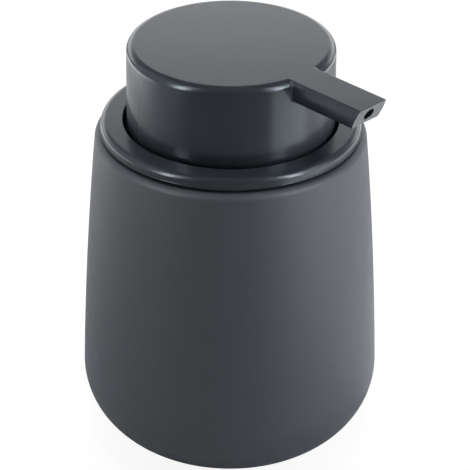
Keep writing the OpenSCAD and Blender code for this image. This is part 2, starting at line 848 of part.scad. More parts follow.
jar();
base_pad();
lid_collar();
lid_seal();
pump_nut();
neck_gasket();
pump_housing();
housing_cap();
stem_wiper();
ball_cage();
inlet_ball();
dip_tube();
return_spring();
piston();
piston_rod();
outlet_ball();
stem();
button_core();
nozzle_tube();
button();
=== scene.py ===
# %% [markdown]
# # Dressing a soap pump dispenser
# A slate grey stoneware jar, a lift-out lid with a collar ring, and a wide push button with
# a flat spout. The construction model already has every piece at its real size and place, so
# this lesson does one thing: it gives each piece the surface and the soft light that it has on
# a shelf. The outer pieces that are round all the way are turned on a lathe made of a few lines
# of code, the button is built from stacked outlines, and every finish is a small network of
# nodes. The pump inside keeps the construction model's shapes, all but its spring.

# %% Load the frame
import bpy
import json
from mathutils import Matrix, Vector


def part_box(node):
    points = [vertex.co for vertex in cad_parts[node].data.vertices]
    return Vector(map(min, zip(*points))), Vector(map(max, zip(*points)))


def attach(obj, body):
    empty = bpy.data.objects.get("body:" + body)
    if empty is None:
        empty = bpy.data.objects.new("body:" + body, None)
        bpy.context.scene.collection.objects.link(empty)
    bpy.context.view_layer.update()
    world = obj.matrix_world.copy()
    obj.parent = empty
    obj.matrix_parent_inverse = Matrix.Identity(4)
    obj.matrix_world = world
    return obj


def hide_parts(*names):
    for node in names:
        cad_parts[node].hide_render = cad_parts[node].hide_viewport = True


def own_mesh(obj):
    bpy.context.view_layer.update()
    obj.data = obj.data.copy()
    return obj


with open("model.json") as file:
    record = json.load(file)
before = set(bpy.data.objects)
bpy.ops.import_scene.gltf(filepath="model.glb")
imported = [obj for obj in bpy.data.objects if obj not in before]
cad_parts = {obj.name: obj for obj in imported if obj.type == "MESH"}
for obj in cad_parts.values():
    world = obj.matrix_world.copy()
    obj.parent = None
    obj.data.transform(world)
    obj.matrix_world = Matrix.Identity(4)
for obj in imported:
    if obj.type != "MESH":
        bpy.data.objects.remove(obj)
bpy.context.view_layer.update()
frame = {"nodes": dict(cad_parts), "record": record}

# %% [markdown]
# ## Tools of the trade
# Blender works in metres. A drawing of a small product reads better in millimetres, so the
# product's lengths and the camera's place are written in millimetres and multiplied by `mm`.
# The floor and the lamps are much larger and stay in metres.

# %% Units and modules
import json
import math
from itertools import pairwise

import bmesh
import bpy
from mathutils import Matrix, Vector

mm = 0.001
nodes = frame["nodes"]
print("nodes to dress:", len(nodes))

# %% [markdown]
# ## The camera
# It stands where a buyer would: in front and to the right of the spout, looking down on it.
# A long lens keeps the jar's sides nearly parallel. The direction is given as a compass angle
# round the pump's axis, which the lamps use as well.

# %% Place the camera
view_heading = math.radians(45.3)
camera_distance = 445.66 * mm
camera_height = 327.81 * mm
camera_side_step = 1.25 * mm
camera_tilt = math.radians(31.25)
camera_roll = math.radians(0.38)
lens_mm = 149.9
nearest_seen = 10 * mm


def around(bearing, distance, height):
    """A point at a compass angle from the camera's heading: positive is to the right."""
    angle = view_heading + math.radians(bearing)
    return Vector((distance * math.sin(angle), -distance * math.cos(angle), height))


camera = bpy.data.objects.new("camera", bpy.data.cameras.new("camera"))
camera.data.lens = lens_mm
camera.data.clip_start = nearest_seen
camera.matrix_world = (
    Matrix.Translation(around(0, camera_distance, camera_height) + around(90, camera_side_step, 0))
    @ Matrix.Rotation(view_heading, 4, "Z")
    @ Matrix.Rotation(math.pi / 2 - camera_tilt, 4, "X")
    @ Matrix.Rotation(camera_roll, 4, "Z")
)
bpy.context.scene.collection.objects.link(camera)
bpy.context.scene.camera = camera
print("camera at", [round(v, 3) for v in camera.matrix_world.translation])

# %% [markdown]
# ## Outlines
# A turned piece is one outline spun round an axis. Moulded and fired pieces have no knife
# edges, so every corner needs a small radius, and a corner is quicker to write than an arc.
# `rounded` takes corners as (radius, height, fillet) and puts the arcs in. A bevel modifier
# could round them too, but each fillet would then be a weight on the mesh's edges instead of a
# number beside its corner.

# %% Arcs and rounded outlines
arc_step = math.radians(9)


def spread(start, end, steps):
    """Evenly spaced numbers from start to end, with both ends."""
    return [start + (end - start) * i / steps for i in range(steps + 1)]


def arc(x, y, r, start, end, steps=8):
    """Points along an arc, with angles in degrees."""
    angles = [math.radians(angle) for angle in spread(start, end, steps)]
    return [(x + r * math.cos(a), y + r * math.sin(a)) for a in angles]


def rounded(corners):
    """Replace each corner (x, y, fillet) of a closed outline by an arc of that radius."""
    points = []
    count = len(corners)
    for i, (x, y, fillet) in enumerate(corners):
        here = Vector((x, y))
        if not fillet:
            points.append((x, y))
            continue
        before = (Vector(corners[i - 1][:2]) - here).normalized()
        after = (Vector(corners[(i + 1) % count][:2]) - here).normalized()
        half = before.angle(after) / 2
        centre = here + (before + after).normalized() * fillet / math.sin(half)
        reach = fillet / math.tan(half)
        first = here + before * reach - centre
        last = here + after * reach - centre
        sweep = first.angle_signed(last)
        steps = max(2, round(abs(sweep) / arc_step))
        for angle in spread(0, -sweep, steps):
            points.append(tuple(centre + Matrix.Rotation(angle, 2) @ first))
    return points


square = rounded([(0, 0, 1), (9, 0, 1), (9, 9, 1), (0, 9, 1)])
print("a square with round corners has", len(square), "points")

# %% [markdown]
# ## The lathe
# `lathe` spins a closed outline round the Z axis. Blender's Screw modifier could spin it too,
# but a bmesh can go through `make_piece`, which also finishes the button and the spring. Faces
# are shaded smooth, and edges that turn by more than 30 degrees are marked sharp. A
# weighted-normal modifier then keeps the flat faces flat beside their narrow fillets, which is
# what makes a moulded edge look moulded.

# %% Finish a mesh
sharp_angle = math.radians(30)
weld_distance = 0.0005 * mm


def make_piece(name, mesh_builder, slot_name, body, *replaced):
    """Turn a bmesh into a finished piece that rides on a body and stands for its CAD nodes."""
    bmesh.ops.remove_doubles(mesh_builder, verts=mesh_builder.verts, dist=weld_distance)
    bmesh.ops.recalc_face_normals(mesh_builder, faces=mesh_builder.faces)
    mesh = bpy.data.meshes.new(name)
    mesh_builder.to_mesh(mesh)
    mesh_builder.free()
    mesh.shade_smooth()
    mesh.set_sharp_from_angle(angle=sharp_angle)
    piece = bpy.data.objects.new(name, mesh)
    bpy.context.scene.collection.objects.link(piece)
    weights = piece.modifiers.new("weighted normals", "WEIGHTED_NORMAL")
    weights.keep_sharp = True
    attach(piece, body)
    if replaced:
        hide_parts(*replaced)
    mesh.materials.append(bpy.data.materials[slot_name])
    print(name, "has", len(mesh.polygons), "faces")
    return piece


print("edges sharper than", round(math.degrees(sharp_angle)), "degrees stay crisp")

# %% Spin an outline
on_axis = 0.001 * mm
usual_steps = 192
fine_steps = 256


def ring_of(builder, points, z):
    """A level row of vertices."""
    return [builder.verts.new((x, y, z)) for x, y in points]


def turned(outline, steps):
    """A bmesh of a closed outline of (radius, height) points spun round Z."""
    builder = bmesh.new()
    angles = spread(0, 2 * math.pi, steps)[:-1]
    rings = []
    for radius, height in outline:
        if radius < on_axis:
            rings.append(ring_of(builder, [(0, 0)], height))
            continue
        circle = [(radius * math.cos(a), radius * math.sin(a)) for a in angles]
        rings.append(ring_of(builder, circle, height))
    for low, high in zip(rings, rings[1:] + rings[:1]):
        if len(low) == 1 and len(high) == 1:
            continue
        for k in range(steps):
            around_face = ((low, k), (low, k + 1), (high, k + 1), (high, k))
            corners = [ring[i % len(ring)] for ring, i in around_face]
            builder.faces.new(list(dict.fromkeys(corners)))
    return builder


def lathe(name, outline, slot_name, body, *replaced, steps=usual_steps):
    """Turn an outline into a finished piece. Big round edges that show take the fine steps."""
    return make_piece(name, turned(outline, steps), slot_name, body, *replaced)


trial = turned([(0, 0), (1, 0), (1, 1), (0, 1)], 12)
print("a disc turned in 12 steps has", len(trial.faces), "faces")
trial.free()

# %% [markdown]
# ## Grain and mottle
# Coated stoneware and satin mouldings look plain from a distance, but two things keep them from
# looking like a drawing: a very fine grain that softens the light, and slow changes in sheen
# where the coat is a little thicker. Both are wanted in several materials, so each is a node
# group with its own inputs, made once. Noise in object coordinates needs no unwrapping, because
# every piece keeps its real size in metres.

# %% Node group helpers
mm_per_metre = 1000


def add_node(tree, kind, values=None, **settings):
    """Add a node, set its properties and the defaults of its named inputs."""
    node = tree.nodes.new(kind)
    for key, value in settings.items():
        setattr(node, key, value)
    for key, value in (values or {}).items():
        node.inputs[key].default_value = value
    return node


def new_group(name, inputs, outputs):
    """An empty shader group with float inputs (name, value) and named outputs."""
    group = bpy.data.node_groups.new(name, "ShaderNodeTree")
    for label, value in inputs:
        socket = group.interface.new_socket(label, in_out="INPUT", socket_type="NodeSocketFloat")
        socket.default_value = value
    for label, kind in outputs:
        group.interface.new_socket(label, in_out="OUTPUT", socket_type=kind)
    return group, group.nodes.new("NodeGroupInput"), group.nodes.new("NodeGroupOutput")


def noise_at(group, entry, size_socket, detail):
    """Noise whose blobs have the size, in millimetres, that the group's input gives."""
    place = add_node(group, "ShaderNodeTexCoord")
    per_metre = add_node(group, "ShaderNodeMath", {0: mm_per_metre}, operation="DIVIDE")
    noise = add_node(group, "ShaderNodeTexNoise", {"Detail": detail})
    group.links.new(entry.outputs[size_socket], per_metre.inputs[1])
    group.links.new(place.outputs["Object"], noise.inputs["Vector"])
    group.links.new(per_metre.outputs[0], noise.inputs["Scale"])
    return noise


print("blob sizes are in millimetres,", mm_per_metre, "to the metre")

# %% Fine grain
grain_group, entry, leave = new_group(
    "fine_grain",
    [("Grain mm", 0.3), ("Height", 1.0), ("Pitting", 0.0), ("Pit mm", 2.0)],
    [("Height", "NodeSocketFloat")],
)
grain = noise_at(grain_group, entry, "Grain mm", 2)
pits = noise_at(grain_group, entry, "Pit mm", 1)
grain_height = add_node(grain_group, "ShaderNodeMath", operation="MULTIPLY")
pit_height = add_node(grain_group, "ShaderNodeMath", operation="MULTIPLY")
both = add_node(grain_group, "ShaderNodeMath", operation="ADD")
grain_group.links.new(grain.outputs["Fac"], grain_height.inputs[0])
grain_group.links.new(entry.outputs["Height"], grain_height.inputs[1])
grain_group.links.new(pits.outputs["Fac"], pit_height.inputs[0])
grain_group.links.new(entry.outputs["Pitting"], pit_height.inputs[1])
grain_group.links.new(grain_height.outputs[0], both.inputs[0])
grain_group.links.new(pit_height.outputs[0], both.inputs[1])
grain_group.links.new(both.outputs[0], leave.inputs["Height"])
print("fine_grain has", len(grain_group.nodes), "nodes")

# %% Mottle
# most of the noise lies between these two values
noise_low = 0.3
noise_high = 0.7

mottle_group, entry, leave = new_group(
    "mottle",
    [("Patch mm", 14), ("Low", 0.0), ("High", 1.0)],
    [("Value", "NodeSocketFloat")],
)
patches = noise_at(mottle_group, entry, "Patch mm", 3)
noise_range = {"From Min": noise_low, "From Max": noise_high}
stretch = add_node(mottle_group, "ShaderNodeMapRange", noise_range)
mottle_group.links.new(patches.outputs["Fac"], stretch.inputs["Value"])
mottle_group.links.new(entry.outputs["Low"], stretch.inputs["To Min"])
mottle_group.links.new(entry.outputs["High"], stretch.inputs["To Max"])
mottle_group.links.new(stretch.outputs["Result"], leave.inputs["Value"])
print("mottle has", len(mottle_group.nodes), "nodes")

# %% [markdown]
# ## The finishes
# One function lays out every material: the mottle group changes the colour and the roughness a
# little from place to place, the grain group feeds a bump, and the shader's plain numbers are
# set on the shader itself. What makes each finish its own is the list of values that follows:
# its darkest and lightest colour, the range of its roughness, and the size of its grain.

# %% Material builder
sheen_patches = 3


def finish_of(slot_name, dark, light, rough, grain_mm=0.3, grain=0.3, depth_mm=0.02,
              pitting=0.0, pit_mm=2.0, patch_mm=14, **shader_values):
    """A material whose colour runs from dark to light and whose roughness runs over a range."""
    material = bpy.data.materials.get(slot_name) or bpy.data.materials.new(slot_name)
    material.use_nodes = True
    tree = material.node_tree
    shader = tree.nodes["Principled BSDF"]
    for socket, value in shader_values.items():
        shader.inputs[socket.replace("_", " ")].default_value = value
    tint = add_node(tree, "ShaderNodeGroup", {"Patch mm": patch_mm}, node_tree=mottle_group)
    colours = {"A": (*dark, 1), "B": (*light, 1)}
    blend = add_node(tree, "ShaderNodeMix", colours, data_type="RGBA")
    roughness = {"Patch mm": patch_mm / sheen_patches, "Low": rough[0], "High": rough[1]}
    sheen = add_node(tree, "ShaderNodeGroup", roughness, node_tree=mottle_group)
    heights = {"Grain mm": grain_mm, "Height": grain, "Pitting": pitting, "Pit mm": pit_mm}
    relief = add_node(tree, "ShaderNodeGroup", heights, node_tree=grain_group)
    bump = add_node(tree, "ShaderNodeBump", {"Distance": depth_mm * mm})
    tree.links.new(tint.outputs["Value"], blend.inputs["Factor"])
    tree.links.new(blend.outputs["Result"], shader.inputs["Base Color"])
    tree.links.new(sheen.outputs["Value"], shader.inputs["Roughness"])
    tree.links.new(relief.outputs["Height"], bump.inputs["Height"])
    tree.links.new(bump.outputs["Normal"], shader.inputs["Normal"])
    print(slot_name, "is ready")


# %% Slate finishes outside, plain plastics and metals inside
finish_of("jar_coating", (0.067, 0.078, 0.096), (0.071, 0.082, 0.101), (0.52, 0.58),
          grain_mm=0.35, grain=0.5, pitting=0.6, pit_mm=3, depth_mm=0.012)
finish_of("satin_plastic", (0.040, 0.047, 0.058), (0.043, 0.050, 0.062), (0.21, 0.25),
          grain_mm=0.4, grain=0.4, depth_mm=0.005, Specular_Tint=(0.80, 0.90, 1.0, 1))
finish_of("pad_rubber", (0.028, 0.030, 0.032), (0.034, 0.036, 0.038), (0.75, 0.85),
          grain_mm=0.4, grain=1.0, depth_mm=0.03)
# near black: a dark silicone made darker still as painted shade, so the seal's brim reads as the shadow
# line under the ring; the pump's wiper shares it
finish_of("silicone", (0.006, 0.0065, 0.007), (0.008, 0.0085, 0.009), (0.55, 0.65),
          depth_mm=0.01, Specular_IOR_Level=0.2)
finish_of("pump_plastic", (0.74, 0.73, 0.70), (0.80, 0.79, 0.765), (0.30, 0.40),
          grain_mm=0.5, depth_mm=0.008, Subsurface_Weight=0.1, Subsurface_Scale=0.002)
finish_of("gasket_foam", (0.70, 0.69, 0.64), (0.78, 0.77, 0.73), (0.85, 0.95),
          grain_mm=0.25, grain=1.0, depth_mm=0.05)
finish_of("tube_plastic", (0.80, 0.80, 0.78), (0.86, 0.86, 0.845), (0.18, 0.26),
          grain_mm=0.6, depth_mm=0.006, Transmission_Weight=0.45, IOR=1.45)
finish_of("piston_plastic", (0.84, 0.84, 0.81), (0.90, 0.90, 0.87), (0.40, 0.48), depth_mm=0.006)
finish_of("ball_steel", (0.60, 0.61, 0.63), (0.66, 0.67, 0.69), (0.05, 0.12),
          depth_mm=0.001, Metallic=1.0)
finish_of("spring_steel", (0.50, 0.51, 0.53), (0.60, 0.61, 0.63), (0.22, 0.34),
          grain_mm=0.08, depth_mm=0.004, Metallic=1.0)

# %% [markdown]
# ## The jar
# A stoneware jar of this kind is usually cast in a plaster mould, so its wall is one flowing
# line: a big soft radius at the foot, a side that leans in and bows out very slightly, and a
# round lip. The bow is a parabola added to a straight taper. A subdivision surface could hold
# a similar shape with fewer points, but it shrinks away from its points, and the size has to
# be the construction model's.

# %% Sizes of the jar
jar_low, jar_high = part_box("jar")
collar_low, collar_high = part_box("lid_collar")
seal_low, seal_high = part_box("lid_seal")
_, pad_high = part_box("base_pad")
jar_r = jar_high.x
foot_z = jar_low.z
lip_z = jar_high.z
base_edge_r = 19 * mm
wall_bow = 0.5 * mm
jar_wall = 4.2 * mm
jar_floor = 5.5 * mm
lip_r = 1.8 * mm
lip_inner_r = 0.8 * mm
mouth_wall = 4.2 * mm
fin_reach = 0.75 * mm
fin_gap = 0.05 * mm
sleeve_t = 0.8 * mm
well_wall = 1.6 * mm
collar_setback = 1.65 * mm
pad_gap = 0.3 * mm
recess_chamfer = 0.3 * mm
land_drop = 0.8 * mm
ease_h = 1.6 * mm
mouth_outer_r = collar_high.x + collar_setback
mouth_r = mouth_outer_r - mouth_wall
wall_top_z = lip_z - lip_r
base_arc_z = foot_z + base_edge_r
base_arc_x = jar_r - base_edge_r
lean = math.atan((jar_r - mouth_outer_r - 4 * wall_bow) / (wall_top_z - base_arc_z))
wall_foot_z = base_arc_z + base_edge_r * math.sin(lean)
wall_foot_r = base_arc_x + base_edge_r * math.cos(lean)
print("jar", round(2 * jar_r / mm, 1), "mm wide, its side leans", round(math.degrees(lean), 2), "degrees")

# %% Turn the jar
base_steps = 40
wall_steps = 24
lip_steps = 12
inner_base_steps = 24


def side_r(z):
    """Outside radius of the jar's side at height z."""
    share = (z - wall_foot_z) / (wall_top_z - wall_foot_z)
    return wall_foot_r + (mouth_outer_r - wall_foot_r) * share + 4 * wall_bow * share * (1 - share)


def jar_outline():
    """The jar's section: the pad's recess, the outside up to the lip, and the inside down."""
    inner_arc_r = base_edge_r - jar_wall
    inner_arc_z = foot_z + jar_floor + inner_arc_r
    inner_foot_z = inner_arc_z + inner_arc_r * math.sin(lean)
    land_z = collar_low.z - land_drop
    ease_z = land_z - ease_h
    recess_r = pad_high.x + pad_gap
    recess_z = pad_high.z
    lean_deg = math.degrees(lean)
    recess = [(0, recess_z), (recess_r, recess_z),
              (recess_r, foot_z + recess_chamfer), (recess_r + recess_chamfer, foot_z)]
    outer_wall = [(side_r(z), z) for z in spread(wall_foot_z, wall_top_z, wall_steps)[1:-1]]
    inner_wall = [(side_r(z) - jar_wall, z) for z in spread(ease_z, inner_foot_z, wall_steps)[:-1]]
    return (
        recess
        + arc(base_arc_x, base_arc_z, base_edge_r, -90, lean_deg, base_steps)
        + outer_wall
        + arc(mouth_outer_r - lip_r, wall_top_z, lip_r, 0, 90, lip_steps)
        + arc(mouth_r + lip_inner_r, lip_z - lip_inner_r, lip_inner_r, 90, 180)
        + [(mouth_r, land_z)]
        + inner_wall
        + arc(base_arc_x, inner_arc_z, inner_arc_r, lean_deg, -90, inner_base_steps)
        + [(0, foot_z + jar_floor)]
    )


lathe("stoneware_jar", jar_outline(), "jar_coating", "jar", "jar", steps=fine_steps)

# %% [markdown]
# ## The lid's ring, seal and pad
# The collar ring and the deep well under it are one moulding in satin plastic. Its outer top
# edge has a wide fillet, because that is the edge the light runs along, and a fine bead runs
# round its foot. The ring ends a little above the jar's lip: the silicone seal in that gap is
# matte and near black, and only its brim shows, as a thin shadow line between ring and jar; its
# dark colour is partly painted shade that deepens that line.
# A thin rubber pad sits in a recess under the jar. All three are turned from closed outlines. A
# single line with a thickness modifier could make the collar too, but it gives one wall
# everywhere unless vertex weights steer it, and ring, well and neck each have their own wall.

# %% Sizes of the collar
_, _, neck_top_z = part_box("neck_gasket")[0]
collar_r = collar_high.x
collar_t = 3 * mm
collar_edge_r = 1.5 * mm
ring_lift = 0.2 * mm
ring_foot_z = collar_high.z - collar_t + ring_lift
ring_bead_h = 0.35 * mm
ring_bead_reach = 0.15 * mm
ring_bead_foot_r = 0.08 * mm
ring_bead_top_r = 0.1 * mm
ring_bead_root_r = 0.03 * mm
opening_r = mouth_r - fin_gap - fin_reach - sleeve_t - well_wall
opening_edge_r = 0.4 * mm
skirt_r = opening_r + well_wall
sleeve_r = skirt_r + sleeve_t
well_floor = 2 * mm
well_corner_r = 1.5 * mm
floor_top_z = collar_low.z + well_floor
neck_gap = 0.3 * mm
neck_wall = 3.1 * mm
neck_edge_r = 0.5 * mm
bore_edge_r = 0.2 * mm
barrel_wall = 1.1 * mm
barrel_r = 7.2 * mm
neck_bore_r = barrel_r + barrel_wall + neck_gap
neck_r = neck_bore_r + neck_wall
skirt_bead_h = 1.2 * mm
skirt_bead_foot_r = 0.4 * mm
skirt_bead_top_r = 0.1 * mm
print("ring", round(2 * collar_r / mm, 1), "mm wide, opening", round(2 * opening_r / mm, 1), "mm")

# %% Turn the collar
lathe("collar_ring", rounded([
    (skirt_r, ring_foot_z, 0),
    (collar_r + ring_bead_reach, ring_foot_z, ring_bead_foot_r),
    (collar_r + ring_bead_reach, ring_foot_z + ring_bead_h, ring_bead_top_r),
    (collar_r, ring_foot_z + ring_bead_h, ring_bead_root_r),
    (collar_r, collar_high.z, collar_edge_r),
    (opening_r, collar_high.z, opening_edge_r),
    (opening_r, floor_top_z, well_corner_r),
    (neck_r, floor_top_z, 0),
    (neck_r, neck_top_z, neck_edge_r),
    (neck_bore_r, neck_top_z, bore_edge_r),
    (neck_bore_r, collar_low.z, bore_edge_r),
    (sleeve_r, collar_low.z, skirt_bead_foot_r),
    (sleeve_r, collar_low.z + skirt_bead_h, skirt_bead_top_r),
    (skirt_r, collar_low.z + skirt_bead_h, 0),
]), "satin_plastic", "lid", "lid_collar", steps=fine_steps)

# %% Turn the seal
fin_r = sleeve_r + fin_reach
fin_t = 0.5 * mm
fin_rise = 1.4 * fin_t
fin_tip_r = 0.15 * mm
fin_root_r = 0.2 * mm
fin_count = 3
first_fin_z = lip_z - lip_inner_r - fin_rise - 2 * fin_t
fin_pitch = (first_fin_z - seal_low.z) / fin_count
brim_r = seal_high.x
brim_top_r = 0.15 * mm
brim_foot_r = 0.3 * mm


def fin(z):
    """One soft fin that points up and out."""
    return [(sleeve_r, z, fin_root_r), (fin_r, z - fin_t + fin_rise, fin_tip_r),
            (fin_r, z - 2 * fin_t + fin_rise, fin_tip_r), (sleeve_r, z - 3 * fin_t, fin_root_r)]


fins = [corner for i in range(fin_count) for corner in fin(first_fin_z - i * fin_pitch)]
# the seal's near-black brim is painted shade on the shadow line between ring and jar
lathe("silicone_seal", rounded([
    (skirt_r, seal_low.z, 0), (skirt_r, ring_foot_z, 0), (brim_r, ring_foot_z, brim_top_r),
    (brim_r, lip_z, brim_foot_r), (sleeve_r, lip_z, 0), *fins, (sleeve_r, seal_low.z, 0),
]), "silicone", "lid", "lid_seal")

# %% Turn the pad
pad_edge_r = 0.5 * mm
pad_top_r = 0.2 * mm
lathe("non_slip_pad", rounded([
    (0, 0, 0), (pad_high.x, 0, pad_edge_r), (pad_high.x, pad_high.z, pad_top_r), (0, pad_high.z, 0),
]), "pad_rubber", "jar", "base_pad")

# %% [markdown]
# ## The button
# The button and its spout are one moulding. The top of the spout is flush with the button's
# flat top, the button's wide edge fillet turns into the spout's crisp edges, and a small hollow
# fillet fills the corner between them. Joining two solids and bevelling the seam would leave
# that corner to chance, so the shell is built from level outlines, like the contour lines of a
# map: below the spout each outline is a circle, and beside it a circle with a strip on its side.

# %% Sizes of the button
button_low, button_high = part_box("button")
rim_z = button_low.z
top_z = button_high.z
spout_reach = button_high.x
rim_r = -button_low.x
draft = 0.3 * mm
cap_r = rim_r - draft
edge_r = 2 * mm
rim_edge_r = 0.3 * mm
wall_t = 1.8 * mm
roof_t = 1.6 * mm
ceiling_edge_r = 1 * mm
spout_w = 10.2 * mm
spout_h = 5.6 * mm
spout_bow = 0.45 * mm
spout_edge_r = 0.3 * mm
tip_edge_r = 0.2 * mm
tip_setback = 2.5 * mm
root_r = 0.6 * mm
spout_z = top_z - spout_h
print("button", round(2 * rim_r / mm, 1), "mm wide, spout reaches", round(spout_reach / mm, 1), "mm")


# %% Measures of the button at any height
def cap_radius(z):
    """Radius of the button's side at height z, with the wide fillet at the top."""
    above = z - (top_z - edge_r)
    if above <= 0:
        return cap_r + draft * (top_z - edge_r - z) / (top_z - edge_r - rim_z)
    return cap_r - edge_r + math.sqrt(max(edge_r ** 2 - above ** 2, 0))


def edge_inset(z, r):
    """How far an edge of radius r has turned in at height z, at the spout's top or foot."""
    past = max(z - (top_z - r), spout_z + r - z, 0)
    return r - math.sqrt(max(r ** 2 - past ** 2, 0))


def half_width(z):
    """Half the spout's width at height z: its sides bow out at mid-height."""
    middle = (z - spout_z) / spout_h * 2 - 1
    return spout_w / 2 - spout_bow * middle ** 2 - edge_inset(z, spout_edge_r)


def face_x(z):
    """Reach of the tip's slanted face at height z."""
    return spout_reach - tip_setback * (top_z - z) / spout_h


print("the tip leans back", round((face_x(top_z) - face_x(spout_z)) / mm, 1), "mm")

# %% Level outlines of the spout and the button
fillet_steps = 10
side_steps = 14
corner_steps = 4
cap_steps = 220
tip_steps = 8


def side_points(z):
    """One side of the spout at height z, from the button's wall to the tip's corner."""
    wide = half_width(z)
    wall = cap_radius(z)
    centre_y = wide + root_r
    centre_x = math.sqrt((wall + root_r) ** 2 - centre_y ** 2)
    foot_angle = math.degrees(math.atan2(centre_y, centre_x))
    fillet = arc(centre_x, centre_y, root_r, foot_angle + 180, 270, fillet_steps)
    end_x = face_x(z) - edge_inset(z, tip_edge_r) - tip_edge_r
    along = [(x, wide) for x in spread(centre_x, end_x, side_steps)[1:-1]]
    corner = arc(end_x, wide - tip_edge_r, tip_edge_r, 90, 0, corner_steps)
    return fillet + along + corner


def root_angle(z):
    """Angle at which the spout's root meets the button's wall at height z."""
    x, y = side_points(z)[0]
    return math.atan2(y, x)


def cap_points(z):
    """The button's round side at height z, from one root of the spout round to the other."""
    wall = cap_radius(z)
    start = root_angle(z)
    turns = spread(start, 2 * math.pi - start, cap_steps)
    return [(wall * math.cos(a), wall * math.sin(a)) for a in turns]


print("an outline beside the spout has", 2 * len(side_points(spout_z)) + cap_steps, "points")


# %% Heights of the outlines
def round_heights(r, steps, first=0.0, last=math.pi / 2):
    """Heights above its centre along a round of radius r, between two angles."""
    return [r * math.sin(angle) for angle in spread(first, last, steps)]


level_steps = 6
crisp_steps = 8
lower_levels = spread(rim_z + rim_edge_r, spout_z, level_steps)
foot_heights = round_heights(spout_edge_r, level_steps)
foot_round = [spout_z + spout_edge_r - h for h in reversed(foot_heights)]
fillet_foot = top_z - edge_r
bowed = spread(foot_round[-1], fillet_foot, level_steps)[1:]
# the spout's crisp edge starts to turn where the wide fillet has risen to this angle
crisp_angle = math.asin((edge_r - spout_edge_r) / edge_r)
wide_heights = round_heights(edge_r, level_steps, last=crisp_angle)
wide_round = [fillet_foot + h for h in wide_heights[1:]]
crisp_heights = round_heights(edge_r, crisp_steps, first=crisp_angle)
crisp_round = [fillet_foot + h for h in crisp_heights[1:]]
upper_levels = foot_round + bowed + wide_round + crisp_round
print("levels below the spout:", len(lower_levels), "and beside it:", len(upper_levels))

# %% [markdown]
# ## The button's shell
# The hollow puck below the spout is a stack of whole circles: down the inside from the ceiling,
# round the rim and up the outside. From the spout's foot upwards each level has four rows of
# vertices: the button's round side, the spout's two sides and its tip. Each row has as many
# vertices as the row above it, so a single helper can join any two of them.

# %% Skin and round wall
ceiling_steps = 6
rim_steps = 4
tip_shares = spread(1, -1, tip_steps)[1:-1]
back_turns = spread(root_angle(spout_z), 2 * math.pi - root_angle(spout_z), cap_steps)
front_turns = spread(-root_angle(spout_z), root_angle(spout_z), tip_steps)[1:-1]


def skin(builder, low, high):
    """Join two rows of vertices of the same length with four-sided faces."""
    for (a, b), (c, d) in zip(pairwise(low), pairwise(high)):
        builder.faces.new((a, b, d, c))


def wall_outline():
    """Section (radius, height) of the shell: ceiling, inside, rim, and outside up to the spout."""
    ceiling_r = cap_r - wall_t - ceiling_edge_r
    ceiling_z = top_z - roof_t - ceiling_edge_r
    rim_round_z = rim_z + rim_edge_r
    return (
        arc(ceiling_r, ceiling_z, ceiling_edge_r, 90, 0, ceiling_steps)
        + arc(rim_r - wall_t + rim_edge_r, rim_round_z, rim_edge_r, 180, 270, rim_steps)
        + arc(rim_r - rim_edge_r, rim_round_z, rim_edge_r, -90, 0, rim_steps)[:-1]
        + [(cap_radius(z), z) for z in lower_levels]
    )


def round_wall(builder):
    """Build the hollow puck below the spout and return its top row of vertices."""
    circle = [(math.cos(a), math.sin(a)) for a in back_turns + front_turns]
    rings = [ring_of(builder, [(r * x, r * y) for x, y in circle], z) for r, z in wall_outline()]
    for low, high in pairwise(rings):
        skin(builder, low + low[:1], high + high[:1])
    builder.faces.new(rings[0])
    return rings[-1]


print("the shell's section has", len(wall_outline()), "points")


# %% Sides of the spout
def spout_rows(builder, top_ring):
    """Rows of vertices at each level: the round side, the spout's two sides and its tip."""
    caps, left, right, tips = [], [], [], []
    for k, z in enumerate(upper_levels):
        side = side_points(z)
        corner_x, corner_y = side[-1]
        cap = ring_of(builder, cap_points(z), z) if k else top_ring[:cap_steps + 1]
        plus = [cap[0]] + ring_of(builder, side[1:], z)
        minus = [cap[-1]] + ring_of(builder, [(x, -y) for x, y in side[1:]], z)
        tip = ring_of(builder, [(corner_x, corner_y * share) for share in tip_shares], z)
        caps.append(cap)
        left.append(plus)
        right.append(minus)
        tips.append([plus[-1]] + tip + [minus[-1]])
    for rows in (caps, left, right):
        for low, high in pairwise(rows):
            skin(builder, low, high)
    return caps, left, right, tips


def underside(builder, front_row, left, right, tip):
    """The spout's flat underside: rows that are curved like the wall and straighten outwards."""
    wall_r = cap_radius(spout_z)
    rows = [front_row]
    for i in range(1, len(left) - 1):
        bent = 1 - min(1, i / (fillet_steps + side_steps / 2))
        x, y_end, _ = left[i].co
        chord_x = math.sqrt(wall_r ** 2 - y_end ** 2)
        row = [left[i]]
        for y in (y_end * share for share in tip_shares):
            bulge = math.sqrt(wall_r ** 2 - y ** 2) - chord_x
            row += ring_of(builder, [(x + bulge * bent, y)], spout_z)
        rows.append(row + [right[i]])
    rows.append(tip)
    for low, high in pairwise(rows):
        skin(builder, low, high)


print("the underside is", tip_steps, "faces wide")


# %% Build the shell
def tip_frame(builder, left, right, tips):
    """Skin the tip's rounded edges and return the loop of vertices round its flat face."""
    middle_z = spout_z + spout_h / 2
    turning = [k for k, z in enumerate(upper_levels) if edge_inset(z, tip_edge_r) > 0]
    low_flat = max(k for k in turning if upper_levels[k] < middle_z) + 1
    high_flat = min(k for k in turning if upper_levels[k] > middle_z) - 1
    for k in range(len(tips) - 1):
        if k < low_flat or k >= high_flat:
            skin(builder, tips[k], tips[k + 1])
    for row in tips[low_flat + 1:high_flat]:
        for vertex in row[1:-1]:
            builder.verts.remove(vertex)
    rising = [left[k][-1] for k in range(low_flat, high_flat + 1)]
    falling = [right[k][-1] for k in range(high_flat, low_flat - 1, -1)]
    return rising + tips[high_flat][1:-1] + falling + tips[low_flat][-2:0:-1]


